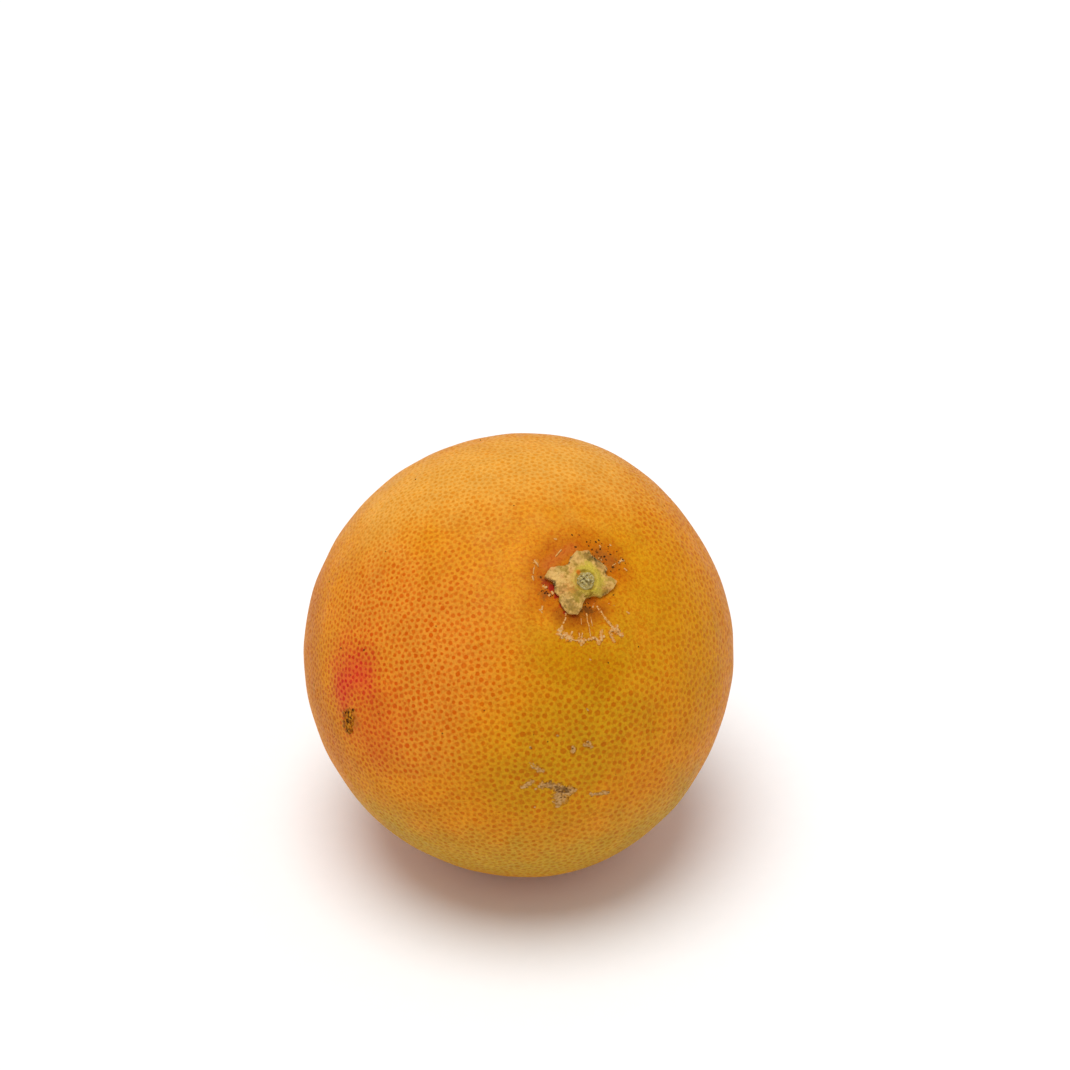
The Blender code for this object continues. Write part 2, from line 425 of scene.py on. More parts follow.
# Small sharp stains of the peel round the calyx and by the old wound, and darker skin in the notch and
# furrow under the calyx: a pixel, the inner and outer radius in millimetres, how strong it is, and the
# colour
PEEL_STAINS = (
    ((551.5, 587.5), 0.5, 1.7, 0.95, (164, 28, 18)),
    ((546.5, 583.5), 0.4, 1.5, 0.85, (156, 44, 14)),
    ((556.5, 595.5), 0.2, 1.1, 0.9, (160, 26, 16)),
    ((562, 606), 0.2, 0.9, 0.9, (170, 28, 12)),
    ((566, 612), 0.2, 0.9, 0.9, (160, 30, 12)),
    ((575, 615), 0.3, 1.3, 0.8, (158, 56, 8)),
    ((586, 609.5), 0.3, 1.6, 0.9, (104, 56, 10)),
    ((590, 610.5), 0.3, 1.3, 0.8, (118, 64, 12)),
    # The skin in the notch between the lower lobes: its own orange-brown, darkened as painted shade
    ((591, 600), 0.8, 1.9, 0.95, (180, 86, 4)),
    ((545, 595), 0.3, 1.5, 0.6, (120, 62, 24)),
    ((541, 578), 0.2, 1.2, 0.5, (140, 74, 30)),
    ((600, 556), 0.8, 2.6, 0.5, (140, 78, 30)),
    ((611, 562), 0.6, 2.6, 0.45, (140, 78, 30)),
    ((352.5, 720), 0.8, 3.4, 0.75, (178, 98, 24)),
    ((347.5, 716), 0.8, 2.4, 0.9, (120, 68, 14)),
    ((347.5, 727), 0.8, 2.4, 0.9, (120, 68, 14)),
)

# The scar at the blossom end, about its middle, in the same form without the pixel
BLOSSOM_STAINS = (
    (1.5, 6.0, 0.5, (168, 116, 26)),
    (0.7, 2.0, 0.9, (112, 78, 32)),
    (0.2, 0.9, 0.8, (72, 48, 20)),
)
# How far the edges of the stains shift, in millimetres
PEEL_JAGGED = 0.9
BLOSSOM_JAGGED = 0.8
# How ragged the zones are: the size of the noise, and how far it moves their edges, as a share of the
# zone's width
ZONE_NOISE = 8 * MM
ZONE_RAGGED = 0.06

# The spots of the pits: how far their edges wander, how far they reach in their cells where the peel is
# smooth and where it is fully pitted, how soft their edges are, and how strong they are in both places
SPOT_WANDER = 0.12
SPOT_REACH = (0.4, 0.5)
SPOT_SOFTNESS = 0.13
SPOT_STRENGTH = (0.4, 1.0)
# The fainter spots between them: their size, the part of the noise that shows, and their strength likewise
SMALL_SPOT_SIZE = 0.7 * MM
SMALL_SPOT_NOISE = (0.48, 0.66)
SMALL_SPOT_STRENGTH = (0.8, 0.5)
# The powers that draw the ruddy colours together in the net and spread them in the spots
RUDDY_IN_NET = 1.4
RUDDY_IN_SPOTS = 0.7


def crowding(from_stem):
    """How many pits there are to an area, set against the fruit's middle."""
    near_stem, stem_spread = STEM_CROWDING
    near_blossom, blossom_spread = BLOSSOM_CROWDING
    stem_part = near_stem * bell(from_stem, stem_spread)
    blossom_part = near_blossom * bell(np.pi - from_stem, blossom_spread)
    return 1 + stem_part + blossom_part


def pit_ways():
    """Unit vectors to the pits: a golden spiral spaced by the crowding, shaken, pushed apart, and drawn
    a little towards the crowded side."""
    steps, block, rows = 10, 400, 721
    # In spacings: how far a pit is shaken and pushed, how far a push reaches, and how far a pit looks
    shake, push, reach, view = 0.33, 0.5, 0.5, 3.2
    # A pit is closer than this to itself alone
    itself = -1e-9
    table = np.linspace(0, np.pi, rows)
    share = np.cumsum(crowding(table) * np.sin(table))
    index = np.arange(PIT_COUNT)
    from_stem = np.interp((index + 0.5) / PIT_COUNT, share / share[-1], table)
    ways = direction(np.pi * (1 + np.sqrt(5)) * index, from_stem)
    weighed_area = 2 * np.pi * share[-1] * (table[1] - table[0])
    spacing = np.sqrt(weighed_area / PIT_COUNT / crowding(from_stem))[:, None]
    ways = unit(ways + np.random.default_rng(PIT_SEED).normal(0, 1, ways.shape) * shake * spacing)
    for _ in range(steps):
        moved = ways.copy()
        for start in range(0, PIT_COUNT, block):
            mine = ways[start:start + block]
            gap = spacing[start:start + block]
            low, high = mine[:, 2].min(), mine[:, 2].max()
            near = np.abs(ways[:, 2] - np.clip(ways[:, 2], low, high)) < view * gap.max()
            other = ways[near]
            closeness = (mine @ other.T - 1) / (reach * gap) ** 2
            pull = np.where(closeness < itself, np.exp(closeness), 0)
            moved[start:start + block] += push * (pull.sum(axis=1, keepdims=True) * mine - pull @ other)
        ways = unit(moved)
    return unit(ways + CROWDED_SIDE)


def hull_triangles(ways):
    """The triangles of the closed hull round points on a ball, as corner numbers, facing outwards."""
    mesh = bpy.data.meshes.new("hull")
    mesh.from_pydata(ways.tolist(), [], [])
    ball = bmesh.new()
    ball.from_mesh(mesh)
    bmesh.ops.convex_hull(ball, input=ball.verts[:])
    bmesh.ops.recalc_face_normals(ball, faces=ball.faces[:])
    ball.to_mesh(mesh)
    ball.free()
    triangles = np.empty(len(mesh.polygons) * 3, np.int32)
    mesh.polygons.foreach_get("vertices", triangles)
    bpy.data.meshes.remove(mesh)
    return triangles.reshape(-1, 3).astype(np.int64)


def distance_to(points, line):
    """The shortest distance from each point to a line through the given corners."""
    nearest = np.full(len(points), np.inf)
    for start, end in zip(line[:-1], line[1:]):
        step = end - start
        share = np.clip((points - start) @ step / (step @ step), 0, 1)
        nearest = np.minimum(nearest, np.linalg.norm(points - start - share[:, None] * step, axis=1))
    return nearest


def zone_strengths(points):
    """How strong each colour of the peel is at each point, by name."""
    strengths = {}
    ragged = cloud(points, ZONE_NOISE, seed=3)
    placed = [(zone, cast(zone[-1])) for zone in SEEN_ZONES]
    placed += [(zone, angles(zone[-1])) for zone in UNSEEN_ZONES]
    for (name, inner, outer, strong, _), ways in placed:
        distance = distance_to(points, over_skin(ways, 0.0)) / MM
        distance = distance + ZONE_RAGGED * outer * ragged
        here = strong * fade(distance, outer, inner)
        strengths[name] = np.maximum(strengths.get(name, 0.0), here)
    return strengths


def make_peel():
    """The fruit's skin. Round every pit lies a ring of points, part of the way to the corners of its cell,
    with a fan of faces down to the pit. Strips between the rings and threes at the corners make the net."""
    pits = pit_ways()
    corner = hull_triangles(pits)
    count, faces = len(pits), len(corner)
    knots = unit(pits[corner].sum(axis=1, keepdims=True))
    rings = unit(pits[corner] + RING * (knots - pits[corner])).reshape(-1, 3)
    ways = np.concatenate((pits, rings))

    # Every edge from a pit to the next has one triangle on each side, found by looking up the edge reversed
    here = corner.ravel()
    there = np.roll(corner, -1, axis=1).ravel()
    edge = np.arange(3 * faces)
    key = here * count + there
    order = np.argsort(key)
    back = order[np.searchsorted(key[order], there * count + here)]
    ring_left = count + edge
    ring_right = count + back // 3 * 3 + (back % 3 + 1) % 3
    far_left = count + edge // 3 * 3 + (edge % 3 + 1) % 3
    far_right = count + back
    fans = np.stack((here, ring_right, ring_left), axis=-1)
    threes = count + edge.reshape(-1, 3)
    strips = np.stack((ring_right, far_right, far_left, ring_left), axis=-1)[here < there]

    rng = np.random.default_rng(PIT_SEED + 1)
    size = rng.normal(1.0, PIT_SIZE_SPREAD, count).clip(*PIT_SIZES)
    tone = rng.uniform(*PIT_TONES, count)
    from_stem = np.degrees(np.arccos(np.clip(ways[:, 2], -1, 1)))
    sunk = fade(from_stem, PIT_FREE_ANGLE, PIT_FULL_ANGLE)
    lift = UNEVEN_HEIGHT * cloud(ways * HALF_HEIGHT, UNEVEN_SIZE, seed=5)
    lift[:count] -= PIT_DEPTH * size * (SHALLOWEST_PIT + (1 - SHALLOWEST_PIT) * sunk[:count])
    points = over_skin(ways, lift)
    peel = surface("peel_skin", points, fans, threes, strips)

    # The map of a cell: its pit at nought, its ring round it as it lies, at that share of one, and the net
    # at one
    to_ring = rings - pits[here]
    length = np.linalg.norm(to_ring, axis=1)
    mean_length = np.bincount(here, length) / np.bincount(here)
    span = RING * length / mean_length[here]
    right = ring_right - count
    cosine = (to_ring * to_ring[right]).sum(axis=1) / (length * length[right])
    sine = np.sqrt(np.clip(1 - cosine ** 2, 0, 1))
    nought = np.zeros(len(here))
    fan_map = np.stack((nought, nought, span[right], nought, span * cosine, span * sine), axis=-1)
    net_corners = 3 * len(threes) + 4 * len(strips)
    cell_map = np.concatenate((fan_map.reshape(-1, 2), np.tile((1.0, 0.0), (net_corners, 1))))
    layer = peel.data.uv_layers.new(name="cell_map")
    layer.data.foreach_set("uv", cell_map.astype(np.float32).ravel())
    owner = np.concatenate((here, np.zeros(len(threes) + len(strips), int)))
    keep(peel, "pit_size", size[owner], "FACE")
    keep(peel, "pit_tone", tone[owner], "FACE")
    keep(peel, "pitted", sunk)
    for name, strength in zone_strengths(points).items():
        keep(peel, name, strength)
    return peel


def finish_peel(peel):
    """Round soft spots in the cells of a paler net, both coloured by the zones, with fainter small spots
    between them, sharp stains, and a faint waxy sheen."""
    finish = Finish("peel")
    cell = finish.node("ShaderNodeUVMap", {}, "UV", uv_map="cell_map")
    far = finish.node("ShaderNodeVectorMath", {0: cell}, "Value", operation="LENGTH")
    ragged = finish.wander(0.5 * MM, 3.0, noise=(0.2, 0.8), value=(-SPOT_WANDER, SPOT_WANDER))
    pitted = finish.stored("pitted")
    reach = finish.product(finish.stored("pit_size"), finish.ramp(pitted, 0.0, 1.0, *SPOT_REACH))
    inside = finish.sum("SUBTRACT", reach, finish.sum("ADD", far, ragged))
    spot = finish.product(finish.ramp(inside, -SPOT_SOFTNESS, SPOT_SOFTNESS), finish.stored("pit_tone"))
    spot = finish.product(spot, finish.ramp(pitted, 0.0, 1.0, *SPOT_STRENGTH))
    strength = finish.ramp(pitted, 0.0, 1.0, *SMALL_SPOT_STRENGTH)
    small = finish.wander(SMALL_SPOT_SIZE, 2.0, noise=SMALL_SPOT_NOISE, value=(0.0, strength))
    spot = finish.sum("MAXIMUM", spot, small)

    net_colour, spot_colour = (colour(*tone) for tone in PEEL_COLOURS["ground"])
    for name, (net, deep) in PEEL_COLOURS.items():
        if name != "ground":
            in_net = in_spot = finish.stored(name)
            if name in RUDDY:
                in_net = finish.sum("POWER", in_net, RUDDY_IN_NET)
                in_spot = finish.sum("POWER", in_spot, RUDDY_IN_SPOTS)
            net_colour = finish.mix(in_net, net_colour, colour(*net))
            spot_colour = finish.mix(in_spot, spot_colour, colour(*deep))
    skin = finish.mix(spot, net_colour, spot_colour)
    skin = finish.stained_at_pixels(skin, PEEL_STAINS, PEEL_JAGGED)
    blossom_end = on_skin(np.array((0.0, 0.0, -1.0)))
    skin = finish.stained(skin, [blossom_end] * len(BLOSSOM_STAINS), BLOSSOM_STAINS, BLOSSOM_JAGGED)
    broad = finish.wander(7 * MM, 3.0, value=(0.95, 1.04))
    fine = finish.wander(0.45 * MM, 2.0, value=(0.92, 1.08))
    shade = finish.product(broad, fine)
    skin = finish.node("ShaderNodeVectorMath", {0: skin, 1: shade}, "Vector", operation="MULTIPLY")
    roughness = finish.wander(1.6 * MM, 3.0, value=(0.42, 0.55))
    normal = finish.bump(finish.noise(0.3 * MM, 2.0), 0.02 * MM)
    finish.dress(peel, skin, roughness, normal, specular=0.06)


# The calyx and the stem's end

SOCKET_RADIUS = 2.25 * MM
STUB_RADIUS = 1.95 * MM
STUB_HEIGHT = 2.7 * MM
STUB_FOOT = 1.3 * MM
COLLAR_CREST = 2.85 * MM
COLLAR_FOOT = 3.5 * MM
COLLAR_HEIGHT = 2.5 * MM
COLLAR_LEAN = 0.45 * MM
COLLAR_LEANS_TO = 15.0
LOBE_HEIGHT = 1.15 * MM
NARROWEST_LOBE = 0.3 * MM
GROOVE_HEIGHT = 2.1 * MM
UNDERSIDE = -0.3 * MM
GRAIN_LENGTH = 14 * MM
# The corners of the five blunt lobes and of the notches between them, across the stem in millimetres
CALYX_OUTLINE = (
    (1.2, 7.2),
    (3.9, 6.6),
    (4.2, 5.5),
    (5.3, 3.8),
    (6.4, 2.2),
    (6.4, 1.5),
    (5.7, 0.8),
    (6.0, 0.0),
    (6.6, -0.3),
    (7.5, -1.7),
    (6.1, -2.8),
    (4.6, -3.6),
    (2.4, -4.0),
    (1.8, -3.4),
    (0.6, -3.3),
    (-0.8, -3.5),
    (-1.8, -4.3),
    (-2.5, -5.3),
    (-3.9, -6.3),
    (-5.9, -5.5),
    (-6.4, -3.9),
    (-6.8, -2.3),
    (-6.2, -1.2),
    (-7.0, -0.1),
    (-6.6, 0.9),
    (-6.5, 2.1),
    (-7.8, 3.6),
    (-6.8, 4.6),
    (-5.7, 5.2),
    (-3.9, 5.1),
    (-2.1, 4.8),
    (-1.2, 5.5),
    (-0.5, 6.3),
)
# Dirt along the calyx's edge, with painted shade where the lifted rim stands over the skin: the angle of
# its middle and its spread in degrees, how strong it is, and what share of the lobe it reaches inwards
EDGE_GRIME_AND_SHADE = (
    (47, 17, 0.95, 0.32),
    (104, 16, 1.0, 0.16),
    (168, 11, 1.0, 0.22),
    (10, 10, 0.9, 0.5),
    (-42, 14, 0.5, 0.4),
    (-110, 14, 0.6, 0.3),
    (-148, 22, 0.35, 0.8),
)
CALYX_COLUMNS = 480
# Blotches of the calyx, in the same form as the peel's stains, with how high over the skin they are taken
# and how far their edges shift
CALYX_STAINS = (
    ((556, 573), 0.4, 2.0, 0.6, (222, 180, 106)),
    ((579, 557), 0.4, 1.6, 0.5, (214, 166, 96)),
    ((588.5, 565.5), 0.4, 1.8, 0.8, (206, 182, 62)),
    ((600, 581), 0.4, 1.6, 0.6, (190, 166, 56)),
    ((572.5, 589), 0.5, 1.8, 0.6, (206, 140, 60)),
    ((560.5, 588), 0.4, 1.6, 0.75, (160, 118, 48)),
    ((577, 598), 0.4, 1.6, 0.7, (156, 134, 34)),
    ((571.5, 603), 0.5, 1.9, 0.6, (148, 114, 38)),
    ((575, 610), 0.4, 1.4, 0.6, (168, 128, 54)),
    ((588.5, 594.5), 0.4, 1.5, 0.9, (138, 106, 10)),
    ((606.5, 591), 0.3, 1.6, 0.7, (150, 108, 28)),
    ((587, 555.5), 0.3, 1.4, 0.6, (128, 92, 26)),
    ((593, 559), 0.3, 1.4, 0.6, (104, 76, 22)),
    ((600, 565), 0.3, 1.2, 0.5, (122, 88, 34)),
)
CALYX_STAIN_LIFT = 1.0 * MM
CALYX_JAGGED = 1.1
# The calyx's colours, from the dry tissue's two shades to the small ruddy spot in its groove
CALYX_COLOURS = {
    "deep": (200, 152, 74),
    "pale": (220, 176, 100),
    "rosy": (212, 148, 82),
    "olive": (162, 128, 46),
    "collar": (196, 172, 56),
    # Dark brown for dirt along the edges and painted shade under the lifted rim
    "grime_and_shade": (58, 40, 12),
    "fleck": (128, 98, 34),
    # The groove's olive, darker as painted shade in the recess round the stem's end
    "groove": (146, 114, 20),
    "spot": (206, 112, 16),
}
# The middle of that spot, across the stem
CALYX_SPOT = np.array((-0.84, 2.2, 0)) * MM
# The line of the cleft in the stem's end
CLEFT = np.array(((-0.3, 0.3, 0), (0.05, -0.4, 0), (0.4, -1.2, 0))) * MM


def outline_reach(around):
    """How far the calyx reaches at each angle: where the ray at that angle crosses the straight line
    between the two corners on each side of it, with a slightly frayed edge."""
    corners = np.array(CALYX_OUTLINE) * MM
    angle = np.arctan2(corners[:, 1], corners[:, 0])
    order = np.argsort(angle)
    following = np.searchsorted(angle[order], around) % len(order)
    start, end = corners[order[following - 1]], corners[order[following]]
    step = end - start
    ray = direction(around, np.pi / 2)
    reach = np.cross(start, step) / np.cross(ray[:, :2], step)
    edge = ray * reach[:, None]
    return reach + 0.05 * MM * cloud(edge, 1.4 * MM, seed=21) + 0.02 * MM * cloud(edge, 0.5 * MM, seed=22)


def across_stem(turned, radius):
    """Places across the stem at each radius, and the map that the calyx's streaks follow outwards: the
    direction, and a third number that grows slowly with the radius."""
    grain = (turned[:, 0] + 0 * radius, turned[:, 1] + 0 * radius, radius / GRAIN_LENGTH)
    return turned * radius[..., None], np.stack(grain, axis=-1)


def make_calyx():
    """Rings of points from the middle of the socket over the collar and the lobes to their edge, and back
    under them. The height is the sum of the collar's crest, the lobes that thin outwards, ribs and
    wrinkles."""
    around = np.linspace(-np.pi, np.pi, CALYX_COLUMNS, endpoint=False)
    turned = direction(around, np.pi / 2)
    reach = outline_reach(around)
    foot = COLLAR_FOOT + COLLAR_LEAN * np.cos(around - np.radians(COLLAR_LEANS_TO))
    foot = np.minimum(foot, reach - NARROWEST_LOBE)
    floor = np.linspace(0.15, 0.86, 6)[:, None] * SOCKET_RADIUS + 0 * around
    collar = SOCKET_RADIUS + np.linspace(-0.15, 1.0, 34)[:, None] * (foot - SOCKET_RADIUS)
    lobes = foot + np.linspace(0.02, 1.0, 52)[:, None] * (reach - foot)
    radius = np.concatenate((floor, collar, lobes))
    flat, grain = across_stem(turned, radius)
    out = np.clip((radius - foot) / (reach - foot), 0, 1)

    # The lobes get thinner outwards, and the tips of the long ones bend up a little
    tip = fade(reach, 5.8 * MM, 7.4 * MM) * out ** 3
    lobe_height = LOBE_HEIGHT * (1 - 0.42 * out ** 1.5) + 0.3 * MM * tip
    height = GROOVE_HEIGHT + (lobe_height - GROOVE_HEIGHT) * fade(radius, SOCKET_RADIUS, foot + 0.3 * MM)
    # The collar's crest is higher in three places, and has round folds on one side
    crest = fade(radius, SOCKET_RADIUS - 0.2 * MM, COLLAR_CREST)
    crest = crest * fade(radius, foot + 0.6 * MM, COLLAR_CREST)
    height += (COLLAR_HEIGHT - GROOVE_HEIGHT) * crest * (1 + 0.15 * np.cos(3 * around + 1))
    folds = 0.5 + 0.5 * np.cos((radius - COLLAR_CREST) / (0.2 * MM))
    height += MM * 0.07 * folds * fade(np.cos(around - np.radians(45)), 0.2, 0.9) * crest
    # Ribs at uneven angles run from the collar's foot almost to the edge, among wrinkles and finer streaks
    ribs = np.cos(9 * around + 2.2 * np.sin(around + 0.6)) * fade(out, 0.0, 0.25) * fade(out, 1.05, 0.7)
    wrinkles, streaks = cloud(flat, 0.9 * MM, seed=23), cloud(grain, 0.22, seed=24)
    relief = 0.05 * ribs + 0.05 * wrinkles + 0.035 * streaks
    height += fade(radius, SOCKET_RADIUS, COLLAR_CREST) * MM * relief

    # The edge turns down and the underside lies just in the skin
    edge = reach * np.array((1.012, 1.015, 1.005, 0.985))[:, None]
    edge_height = height[-1] * np.array((0.85, 0.5, 0.1, 0.0))[:, None]
    edge_height[-1] = -0.06 * MM
    under = reach * np.linspace(0.9, 0.1, 8)[:, None]
    radius = np.concatenate((radius, edge, under))
    height = np.concatenate((height, edge_height, np.full(under.shape, UNDERSIDE)))
    points = over_skin(direction(around, radius / HALF_HEIGHT), height)
    pole = np.array((0.0, 0.0, 1.0))
    shape = with_poles(over_skin(pole, GROOVE_HEIGHT), points, over_skin(pole, UNDERSIDE))
    calyx = surface("calyx_star", shape, *closed_faces(len(points), CALYX_COLUMNS))

    # Where the calyx is green, where dirt and painted shade lie along its edges, and where painted shade
    # darkens its groove, for its material
    flat, grain = across_stem(turned, radius)
    out = np.clip((radius - foot) / (reach - foot), 0, 1)
    right = fade(np.cos(around + np.radians(5)), -0.45, 0.35)
    green = fade(radius, foot + (0.4 + 1.2 * right) * MM, foot - 0.6 * MM) * (0.55 + 0.45 * right)
    # Dirt and painted shade along the edge, arc by arc
    grime_and_shade = 0.0 * out
    for middle, spread, strong, depth in EDGE_GRIME_AND_SHADE:
        off = np.angle(np.exp(1j * (around - np.radians(middle))))
        grime_and_shade = np.maximum(grime_and_shade, strong * bell(off, spread) * fade(out, 1 - depth, 1 - depth / 3))
    # The ring between the collar's crest and the stem's end, darkened as painted shade
    groove = fade(radius, COLLAR_CREST - 0.15 * MM, SOCKET_RADIUS)
    spot = fade(np.linalg.norm(flat - CALYX_SPOT, axis=-1), 0.75 * MM, 0.25 * MM)
    kept = {"green": green, "grime_and_shade": grime_and_shade, "groove": groove, "spot": spot, "grain": grain}
    for name, values in kept.items():
        keep(calyx, name, with_poles(values[0, 0], values, values[-1, 0]))
    return calyx


def finish_calyx(calyx):
    """Dry tan tissue in patches, with faint streaks that run outwards, a yellow-green collar, painted shade
    in the groove, and dirt with painted shade along the edges."""
    finish = Finish("calyx")
    tones = {name: colour(*tone) for name, tone in CALYX_COLOURS.items()}
    streaks = finish.noise(0.09, 3.0, at=finish.stored("grain", "Vector"))
    base = finish.mix(finish.ramp(streaks, 0.3, 0.7), tones["deep"], tones["pale"])
    rosy = finish.wander(2.2 * MM, 2.0, noise=(0.52, 0.64), value=(0.0, 0.7))
    base = finish.mix(rosy, base, tones["rosy"])
    olive = finish.wander(2.0 * MM, 3.0, noise=(0.5, 0.62), value=(0.0, 0.85))
    base = finish.mix(olive, base, tones["olive"])
    patchy = finish.wander(0.9 * MM, 3.0, noise=(0.3, 0.6), value=(0.65, 1.0))
    base = finish.mix(finish.product(finish.stored("green"), patchy), base, tones["collar"])
    base = finish.stained_at_pixels(base, CALYX_STAINS, CALYX_JAGGED, CALYX_STAIN_LIFT)
    # Dirt and painted shade along the edges, in patches
    patches = finish.wander(0.45 * MM, 4.0, noise=(0.42, 0.56), value=(0.2, 1.0))
    base = finish.mix(finish.product(finish.stored("grime_and_shade"), patches), base, tones["grime_and_shade"])
    flecks = finish.wander(0.45 * MM, 3.0, noise=(0.6, 0.7), value=(0.0, 0.6))
    base = finish.mix(flecks, base, tones["fleck"])
    # The groove darkened in patches: painted shade over its own olive
    groove_shade_patches = finish.wander(1.3 * MM, 3.0, noise=(0.4, 0.6), value=(0.3, 0.85))
    base = finish.mix(finish.product(finish.stored("groove"), groove_shade_patches), base, tones["groove"])
    base = finish.mix(finish.stored("spot"), base, tones["spot"])
    roughness = finish.ramp(streaks, 0.3, 0.7, low=0.6, high=0.8)
    fibres = finish.bump(streaks, 0.03 * MM)
    normal = finish.bump(finish.noise(0.25 * MM, 3.0), 0.03 * MM, before=fibres)
    finish.dress(calyx, base, roughness, normal, specular=0.2)


def make_stub():
    """Rings of points from the top's middle over its rough face and down its side to a flat foot."""
    columns = 160
    around = np.linspace(-np.pi, np.pi, columns, endpoint=False)
    face = np.linspace(0.04, 0.96, 34)[:, None] * STUB_RADIUS + 0 * around
    side = STUB_RADIUS * np.array((1.0, 1.03, 1.03, 1.0, 0.97))[:, None] + 0 * around
    under = STUB_RADIUS * np.linspace(0.9, 0.1, 5)[:, None] + 0 * around
    circle = direction(around, np.pi / 2)
    flat = circle * face[..., None]

    # Pores in a ring round the middle, a cleft across it, small bumps, and a rim that drops unevenly
    pores = fade(np.abs(face - 1.15 * MM), 0.5 * MM, 0.1 * MM)
    pores = pores * fade(cloud(flat, 0.9 * MM, seed=31), 0.0, 0.9)
    to_cleft = distance_to(flat.reshape(-1, 3), CLEFT).reshape(face.shape)
    cleft = fade(to_cleft + 0.08 * MM * cloud(flat, 0.6 * MM, seed=33), 0.35 * MM, 0.05 * MM)
    top = STUB_HEIGHT - 0.3 * MM * pores - 0.35 * MM * cleft + 0.07 * MM * cloud(flat, 0.55 * MM, seed=32)
    top -= 0.45 * MM * fade(face, 1.2 * MM, 1.95 * MM) * (1 + 0.4 * cloud(flat, 1.6 * MM, seed=36))
    side_height = STUB_FOOT + (top[-1] - STUB_FOOT) * np.array((0.85, 0.6, 0.35, 0.15, 0.0))[:, None]
    radius = np.concatenate((face, side, under))
    height = np.concatenate((top, side_height, np.full(under.shape, STUB_FOOT)))
    uneven = radius * (1 + 0.06 * cloud(circle, 1.3, seed=34) + 0.03 * cloud(circle, 0.45, seed=35))
    points = over_skin(direction(around, uneven / HALF_HEIGHT), height)
    pole = np.array((0.0, 0.0, 1.0))
    shape = with_poles(over_skin(pole, top[0].mean()), points, over_skin(pole, STUB_FOOT))
    stub = surface("stem_end", shape, *closed_faces(len(points), columns))

    side_dark, foot_dark = 0.45, 0.6
    dark = np.full(radius.shape, side_dark)
    dark[:len(face)] = np.maximum(pores, cleft) + 0.2 * fade(face, 1.5 * MM, 1.9 * MM)
    keep(stub, "dark", with_poles(dark[0].mean(), dark, foot_dark))
    return stub


def finish_stub(stub):
    """Weathered woody grey with pale crumbs, olive and darker in its pores, cleft and edge."""
    finish = Finish("stem_end")
    mottle = finish.noise(0.5 * MM, 4.0)
    base = finish.mix(finish.ramp(mottle, 0.38, 0.62), colour(158, 132, 62), colour(186, 170, 112))
    crumbs = finish.wander(0.35 * MM, 3.0, noise=(0.56, 0.68))
    base = finish.mix(crumbs, base, colour(214, 204, 166))
    base = finish.mix(finish.product(finish.stored("dark"), 0.6), base, colour(92, 72, 22))
    roughness = finish.ramp(mottle, 0.3, 0.7, low=0.7, high=0.85)
    normal = finish.bump(finish.noise(0.2 * MM, 3.0), 0.04 * MM)
    finish.dress(stub, base, roughness, normal, specular=0.2)


# Scars, scabs and specks

# How high the strips stand over the peel, how deep they are sunk in it, the points round them, the step
# between the points along them, and the first seed of each kind
STRIP_HEIGHT = 0.06 * MM
STRIP_SUNK = 0.3 * MM
STRIP_COLUMNS = 18
STRIP_STEP = 0.12 * MM
THREAD_SEED = 1000
SCAB_SEED = 2000
WOUND_SEED = 3000
